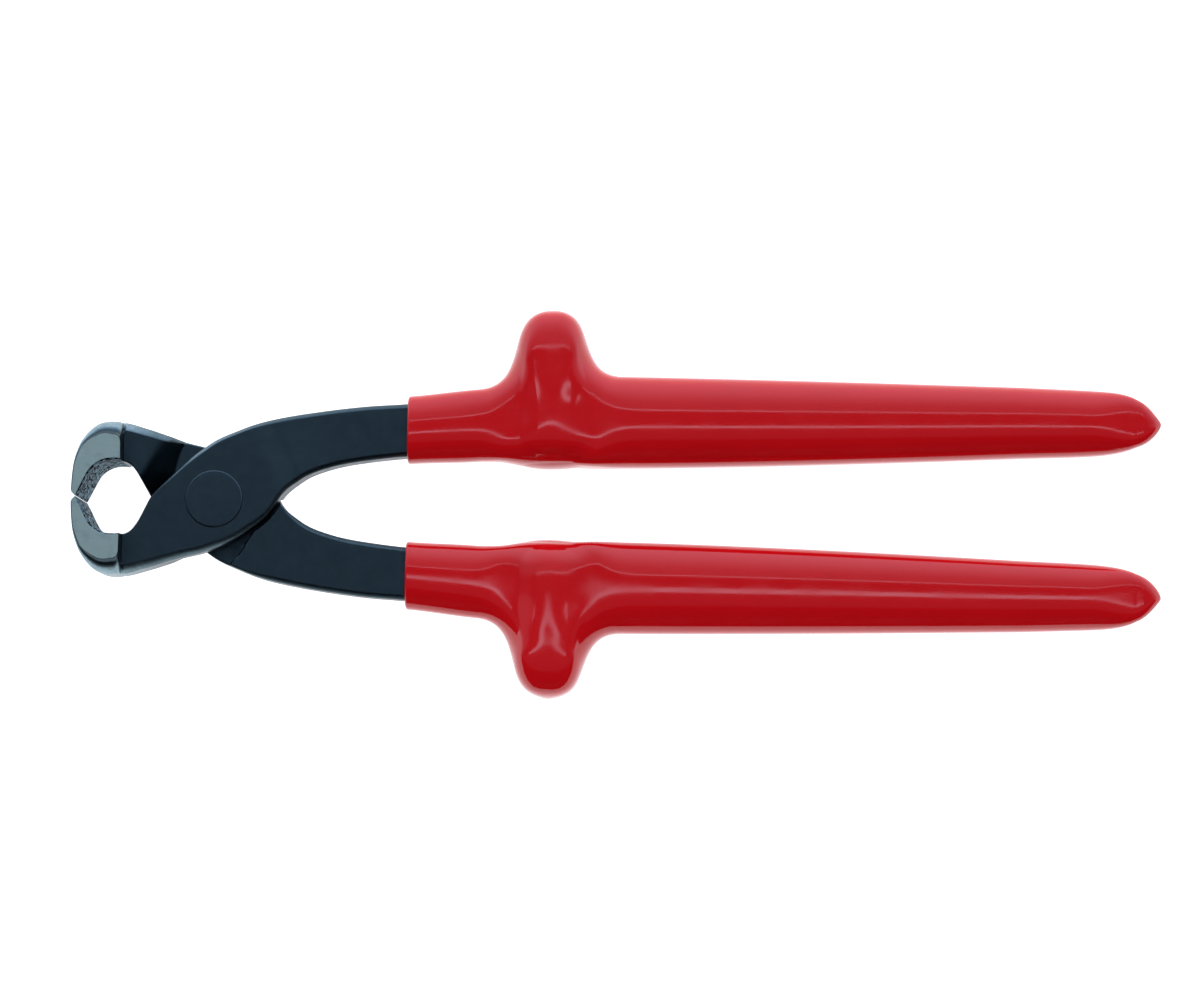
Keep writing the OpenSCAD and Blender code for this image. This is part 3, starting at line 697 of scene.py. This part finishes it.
def taper_share(x):
    """Share of the taper behind the grip's widest place: the share of the way to the power 1.35."""
    return (np.maximum(0, x - GRIP_X) / (END_X - GRIP_X)) ** 1.35


def tapered(x, values):
    """Size of the grip along it: 3u squared minus 2u cubed from place to place up to the widest one,
    and from there the taper to the tip."""
    way = np.interp(x, GRIP_PLACES[:3], np.arange(3))
    stretch = np.minimum(way.astype(int), 1)
    level = values[stretch] + (values[stretch + 1] - values[stretch]) * smooth(way - stretch)
    return level + (values[3] - values[2]) * taper_share(x)


def grip_middle(x):
    """Distance of the grip's middle from the tool's: straight from place to place, then with the taper."""
    ahead = np.interp(x, GRIP_PLACES[:3], GRIP_SPREADS[:3])
    return ahead + (GRIP_SPREADS[3] - GRIP_SPREADS[2]) * np.minimum(1, taper_share(x))


def end_share(x, power, point):
    """Narrowing of the rounded end: 1 minus the share of its length to one power, all to another."""
    u = np.clip((x - END_X) / END_LEN, 0, 1)
    return (1 - u ** power) ** point


def half_width(x):
    """Half width of the plain CAD grip: the tapered width times the narrowing of the end."""
    return end_share(x, *CAD_END) * tapered(x, GRIP_HALF_WIDTHS)


def half_depth(x):
    """Half thickness of the plain CAD grip: the tapered thickness times the narrowing of the end."""
    return end_share(x, *CAD_END) * tapered(x, GRIP_HALF_DEPTHS)


def lobe_rise(x):
    """Height share of the guard's lobe along the grip. A dome, 1 minus 0.42 u squared over 1 plus u to the
    tenth, stands on a low skirt, 1 over 1 plus u to the sixth with a wider u."""
    u = np.abs(x - GUARD_X) / LOBE_HALF
    skirt = 0.15 / (1 + (u / 1.35) ** 6)
    return skirt + 0.85 * np.maximum(0, 1 - 0.42 * u ** 2) / (1 + u ** 10)


def ridge_rise(x):
    """Height share of the guard's ridge along the grip: 1 over (1 plus u squared) to the power 1.5."""
    return (1 + ((x - GUARD_X) / RIDGE_HALF) ** 2) ** -1.5


def swell_rise(x):
    """Height share of the wide swelling round the guard: 1 over 1 plus u to the fourth."""
    return 1 / (1 + ((x - GUARD_X) / SWELL_HALF) ** 4)


LOBE_H = GUARD_REACH - grip_middle(GUARD_X) - half_width(GUARD_X)
RIDGE_H = GUARD_Z - half_depth(GUARD_X)
INNER_BULGE = 1.1
# The guard's bar: half its length along the grip, where its heel and lobe start and where its ends are across
# the grip, its half height and the fillet's length
BAR_HALF = 8.7
BAR_HEEL = -4
BAR_LOBE = 11.4
BAR_IN = -9.8
BAR_OUT = GUARD_REACH - grip_middle(GUARD_X) - 0.1
BAR_Z = GUARD_Z - 0.15
FILLET = 8.8
# Powers of the lobe's plan, of the bar's ridge, of the ridge in the lobe and of what flatter faces add
LOBE_POWER = 2.6
RIDGE_POWER = 1.85
LOBE_RIDGE_POWER = 3.0
FLAT_POWER = 2.4
# Half the length of the flatter faces round the guard
GUARD_FLAT_HALF = 12.5
# The tip: length of its flatter faces, how soon they set in, radius and length of its blunt drop
TIP_FLAT_LEN = 17
TIP_FLAT_START = 10.5
TIP_RADIUS = 0.9
TIP_DROP_LEN = 6


def guard_sizes(x):
    """Half widths outwards and inwards and half thickness of the CAD sleeve: the plain grip's, plus the lobe
    outwards, the swelling inwards, and swelling and ridge in thickness."""
    outer = half_width(x) + LOBE_H * lobe_rise(x)
    inner = half_width(x) + INNER_BULGE * swell_rise(x)
    depth = half_depth(x) + RIDGE_H * (0.4 * swell_rise(x) + 0.6 * ridge_rise(x))
    return outer, inner, depth


def round_section(x, outer, inner, depth):
    """Rings of a rounded section about the grip's middle: cosine and sine of the angle to 2 over the
    section's power, times the half width of either side and the half thickness."""
    angle = np.linspace(0, 2 * np.pi, SECTION_POINTS, endpoint=False)[None, :]
    cosine, sine = np.cos(angle), np.sin(angle)
    side = np.sign(cosine) * np.abs(cosine) ** (2 / SECTION_POWER)
    level = np.sign(sine) * np.abs(sine) ** (2 / SECTION_POWER)
    y = grip_middle(x) + np.where(cosine > 0, outer, inner) * side
    z = depth * level
    return np.stack([np.broadcast_to(x, y.shape), y, z], axis=-1)


def power_sum(power, *shares):
    """The shares to a power, summed, to one over that power: 1 on a rounded box, less inside it."""
    return sum(np.abs(share) ** power for share in shares) ** (1 / power)


def grip_field(x, y, z):
    """About how far a point is outside the plain grip, whose section is a rounded box: the power sum of its
    shares of the half sizes, less 1, times the half thickness. Faces are flatter shortly before the tip and
    round the guard, where the power is larger. The tip is a blunt drop."""
    to_tip = TIP_X - x
    flat_end = np.clip((TIP_FLAT_LEN - to_tip) / TIP_FLAT_START, 0, 1) ** 1.8
    flat_end = flat_end * np.clip(to_tip / TIP_DROP_LEN, 0, 1)
    power = SECTION_POWER - 0.6 * (x > END_X) * ((x - END_X) / END_LEN) ** 4 + FLAT_POWER * flat_end
    power = power + FLAT_POWER / (1 + ((x - GUARD_X) / GUARD_FLAT_HALF) ** 8)
    width = tapered(x, GRIP_HALF_WIDTHS) * np.where(y > 0, end_share(x, *OUTER_END), end_share(x, *INNER_END))
    depth = tapered(x, GRIP_HALF_DEPTHS) * end_share(x, *DEPTH_END)
    drop = 2 * TIP_RADIUS * to_tip * np.clip(1 - to_tip / TIP_DROP_LEN, 0, 1)
    width, depth = np.sqrt(width ** 2 + drop), np.sqrt(depth ** 2 + drop)
    return (power_sum(power, y / width, z / depth) - 1) * depth


def guard_field(x, y, z):
    """About how far a point is outside the guard's bar across the grip, a rounded box: the power sum of its
    shares of the half sizes, less 1, times half the bar's length along the grip. The top is level over most
    of the bar, the ends are round in plan, the heel is narrower, and the ridge is lost in the lobe."""
    middle = (BAR_OUT + BAR_IN) / 2 - 1
    end = np.abs(y - middle) / np.where(y > middle, BAR_OUT - middle, middle - BAR_IN)
    high = BAR_Z * np.maximum(0.5, np.maximum(0, 1 - end ** 5) ** 0.2)
    lobe = np.clip((y - BAR_LOBE) / (BAR_OUT - BAR_LOBE), 0, 1)
    heel = np.clip((y - BAR_HEEL) / (BAR_IN - BAR_HEEL), 0, 1)
    wide = BAR_HALF * (1 - 0.35 * heel ** 2) * (1 - lobe ** LOBE_POWER) ** (1 / LOBE_POWER)
    into_lobe = smooth(np.clip((y - 2) / 20, 0, 1))
    ridge = RIDGE_POWER + (LOBE_RIDGE_POWER - RIDGE_POWER) * into_lobe
    return (power_sum(ridge, (x - GUARD_X) / np.maximum(1, wide), z / high, end ** 8) - 1) * BAR_HALF


def sleeve_field(x, y, z):
    """About how far a point is outside the sleeve, where y is from the grip's middle. Grip and guard flow
    together in a fillet: the two distances mixed, less the fillet's length times the mix times 1 minus the
    mix, which runs from 0 to 1 as the distances change places. The fillet is shorter on the faces."""
    grip = grip_field(x, y, z)
    bar = guard_field(x, y, z)
    fillet = FILLET * (1 - 0.45 * np.minimum(1, (z / GRIP_HALF_DEPTHS[2]) ** 2))
    mix = np.clip(0.5 + 0.5 * (bar - grip) / fillet, 0, 1)
    return bar + (grip - bar) * mix - fillet * mix * (1 - mix)


def sleeve_outside(x, inset):
    """Rings of the sleeve's outside. Points of a first section are moved along rays from the grip's middle
    until the sleeve's field is zero there, which halving the range finds."""
    x = x[:, None]
    inset = inset[:, None]
    rings = round_section(x, *guard_sizes(x))
    middle = grip_middle(x)
    y, z = rings[..., 1] - middle, rings[..., 2].copy()
    low, high = np.full_like(y, 0.2), np.full_like(y, 4.0)
    for _ in range(44):
        share = (low + high) / 2
        inside = sleeve_field(x, y * share, z * share) < -inset
        low, high = np.where(inside, share, low), np.where(inside, high, share)
    rings[..., 1] = middle + y * low
    rings[..., 2] = z * low
    return rings


def arm_section(x, at, grow):
    """Rings of the bare arm's section, a box with four bevelled corners, grown by a coat's thickness."""
    places, inner, _, _, outer, _, depth = LEVER_ROWS[MOUTH_ROW:, :7].T
    inner = np.interp(at, places, inner)[:, None] - grow
    outer = np.interp(at, places, outer)[:, None] + grow
    depth = np.interp(at, places, depth)[:, None] + grow
    quarter_points = SECTION_POINTS // 4
    u = np.tile(np.linspace(0, 1, quarter_points), 4)[None, :]
    quarter = np.repeat(np.arange(4), quarter_points)[None, :]
    side = ARM_BEVEL * np.where(quarter % 2 == 0, u, 1 - u)
    y = np.where((quarter == 0) | (quarter == 3), outer - side, inner + side)
    z = np.where(quarter < 2, 1, -1) * (depth - ARM_BEVEL + side)
    return np.stack([np.broadcast_to(np.asarray(x)[:, None], y.shape), y, z], axis=-1)


def core_section(u):
    """Rings of the room for the guard's core: the CAD sleeve's section less a cover, which on the lobe's side
    grows with the square of the way to either face of the core."""
    x = (GUARD_X + u * CORE_HALF)[:, None]
    outer, inner, depth = guard_sizes(x)
    cover = CORE_COVER * (1 + 0.8 * u[:, None] ** 2)
    outer, inner, depth = outer - cover, inner - CORE_COVER, depth - CORE_COVER
    return round_section(x, outer, inner, depth)


def sleeve_rings():
    """Rings of a sleeve from the end of its room for the arm, out of the mouth and along to the tip."""
    core_places = np.array([1, 0.75, 0.4, 0, -0.4, -0.75, -1])
    front, rear = GUARD_X - CORE_HALF, GUARD_X + CORE_HALF
    room = np.concatenate([
        arm_section(np.array([COAT_END]), np.array([ARM_LEN]), COAT),
        arm_section(np.array([TAPER_X, rear]), np.array([TAPER_X, rear]), COAT),
        core_section(core_places),
        arm_section(np.array([front, LIP_X]), np.array([front, LIP_X]), COAT),
        arm_section(np.array([LIP_X, MOUTH_X]), np.array([LIP_X, MOUTH_X]), 0),
    ])
    # The mouth's rim is a quarter round, and the rings lie closest round the guard and towards the tip
    angle = np.linspace(0, np.pi / 2, 9)
    end = np.linspace(0, 1, 60)
    x = np.concatenate([
        MOUTH_X + MOUTH_RIM * (1 - np.cos(angle)),
        np.linspace(MOUTH_X + 1, CLOSE_FROM, 20),
        np.linspace(CLOSE_FROM + 0.4, CLOSE_TO, 170),
        np.linspace(CLOSE_TO + 2, END_X, 44)[:-1],
        END_X + END_LEN * 0.9998 * (1 - (1 - end) ** 1.8),
    ])
    inset = np.zeros_like(x)
    inset[:len(angle)] = MOUTH_RIM * (1 - np.sin(angle))
    return np.concatenate([room, sleeve_outside(x, inset)])


def add_sleeve(name, rear, body, node, material):
    """A dipped sleeve with the room for its arm, coat and core."""
    mesh = tube_mesh(name, turned(sleeve_rings(), rear), [material])
    mesh.set_sharp_from_angle(angle=np.radians(40))
    add_piece(mesh, body, node)


# Tool

LEVER_MATERIALS = [black_oxide_forged_steel(), surface_ground_steel(), shot_blasted_steel()]
RED = dipped_red_vinyl()
add_lever("front_lever_forging", False, "front_half", "front_lever", RUNNING_CLEARANCE, LEVER_MATERIALS)
add_lever("rear_lever_forging", True, "rear_half", "rear_lever", PRESSED_CLEARANCE, LEVER_MATERIALS)
add_rivet("pivot_rivet_turning", "rear_half", "pivot_rivet", black_oxide_turned_steel())
add_sleeve("front_sleeve_dip", False, "front_half", "front_sleeve", RED)
add_sleeve("rear_sleeve_dip", True, "rear_half", "rear_sleeve", RED)

YELLOW = dipped_yellow_vinyl()
NATURAL = moulded_natural_plastic()
for node, material in (
    ("front_base_coat", YELLOW),
    ("rear_base_coat", YELLOW),
    ("front_guard_core", NATURAL),
    ("rear_guard_core", NATURAL),
):
    frame["nodes"][node].data.materials.clear()
    frame["nodes"][node].data.materials.append(material)


# Studio

def floor_mesh(half, count):
    """Flat square grid of points, evenly spaced, at the level that the tool lies on."""
    place = np.linspace(-half, half, count)
    x, y = np.meshgrid(place, place)
    points = np.stack([x, y, np.zeros_like(x)], axis=-1).reshape(-1, 3)
    start = (np.arange(count - 1)[:, None] * count + np.arange(count - 1)[None, :]).reshape(-1, 1)
    mesh = bpy.data.meshes.new("floor")
    mesh.from_pydata(points.tolist(), [], (start + np.array([[0, 1, count + 1, count]])).tolist())
    mesh.materials.append(opal_light_table())
    return mesh


floor = bpy.data.objects.new("floor", floor_mesh(3.0, 9))
bpy.context.scene.collection.objects.link(floor)


def add_panel(name, place, aim, size, radiance, glossy=True):
    """Flat light panel at a place, facing a point, with a given brightness."""
    light = bpy.data.lights.new(name, "AREA")
    light.shape = "RECTANGLE"
    light.size, light.size_y = size
    light.energy = np.pi * size[0] * size[1] * radiance
    panel = bpy.data.objects.new(name, light)
    panel.location = place
    panel.rotation_euler = (Vector(aim) - Vector(place)).to_track_quat("-Z", "Y").to_euler()
    panel.visible_camera = False
    panel.visible_glossy = glossy
    bpy.context.scene.collection.objects.link(panel)


# Diffuse light only, from two large panels that the gloss doesn't show
add_panel("soft_fill", (0, 1.0, 1.25), (0, 0, 0), (2.4, 2.0), 0.88, glossy=False)
add_panel("front_fill", (0, -1.3, 0.75), (0, 0, 0), (1.2, 0.8), 2.6, glossy=False)


def studio_dome():
    """World light that runs across the tool: next to nothing in front, a dim roof, two tubes with a dark slot
    between them and a white wall behind, brighter towards the horizon. Angles are from straight up, towards
    plus Y."""
    world = bpy.data.worlds.new("studio_dome")
    world.use_nodes = True
    tree = world.node_tree
    tree.nodes.clear()
    place = put(tree, "ShaderNodeTexCoord").outputs["Generated"]
    axes = put(tree, "ShaderNodeSeparateXYZ", {0: place}).outputs
    tilt = put(tree, "ShaderNodeMath", {0: axes["Y"], 1: axes["Z"]}, operation="ARCTAN2").outputs[0]
    side = put(tree, "ShaderNodeMath", {0: axes["X"], 1: axes["Z"]}, operation="ARCTAN2").outputs[0]
    # Angle in degrees and brightness
    stops = (
        (-15, 0.03), (-14.4, 0.17), (1, 0.2), (3, 0.12), (10, 0.14),
        (12, 0.45), (22, 0.6), (45, 1.4), (62, 1.7), (90, 1.9),
    )
    share = put(tree, "ShaderNodeMath", {0: tilt, 1: 1 / np.pi, 2: 0.5}, operation="MULTIPLY_ADD").outputs[0]
    wall = put(tree, "ShaderNodeValToRGB", {"Fac": share})
    elements = wall.color_ramp.elements
    elements.remove(elements[1])
    elements[0].color = (0.03, 0.03, 0.03, 1)
    for angle, level in stops:
        elements.new(angle / 180 + 0.5).color = (level, level, level, 1)
    light = wall.outputs["Color"]
    # Angle and half width of each tube in degrees, and its brightness
    for angle, half, level in ((2.4, 0.75, 3.0), (11.0, 0.5, 2.6)):
        inputs = {0: tilt, 1: np.radians(angle), 2: np.radians(half)}
        line = put(tree, "ShaderNodeMath", inputs, operation="COMPARE")
        ends = put(tree, "ShaderNodeMath", {0: side, 1: 0.0, 2: np.radians(46)}, operation="COMPARE")
        tube = put(tree, "ShaderNodeMath", {0: line.outputs[0], 1: ends.outputs[0]}, operation="MULTIPLY")
        inputs = {0: tube.outputs[0], 1: level, 2: light}
        light = put(tree, "ShaderNodeMath", inputs, operation="MULTIPLY_ADD").outputs[0]
    back = put(tree, "ShaderNodeBackground", {"Color": linear("#dee7ff"), "Strength": light})
    put(tree, "ShaderNodeOutputWorld", {"Surface": back.outputs[0]})
    return world


bpy.context.scene.world = studio_dome()
bpy.context.scene.view_settings.view_transform = "Standard"

camera_data = bpy.data.cameras.new("camera")
camera_data.sensor_width = 36
camera_data.lens = 126.34
camera = bpy.data.objects.new("camera", camera_data)
bpy.context.scene.collection.objects.link(camera)
CAMERA_PLACE = Vector((0.00486, -0.078, 1.0))
CAMERA_AIM = Vector((-0.00432, 0.00122, 0.011))
camera.location = CAMERA_PLACE
camera.rotation_mode = "QUATERNION"
ROLL = np.radians(0.695)
# The picture's up is the tool's plus Y
forward = (CAMERA_AIM - CAMERA_PLACE).normalized()
right = forward.cross(Vector((0, 1, 0))).normalized()
look = Matrix((right, right.cross(forward), -forward)).transposed().to_quaternion()
camera.rotation_quaternion = look @ Quaternion((0, 0, 1), ROLL)
bpy.context.scene.camera = camera
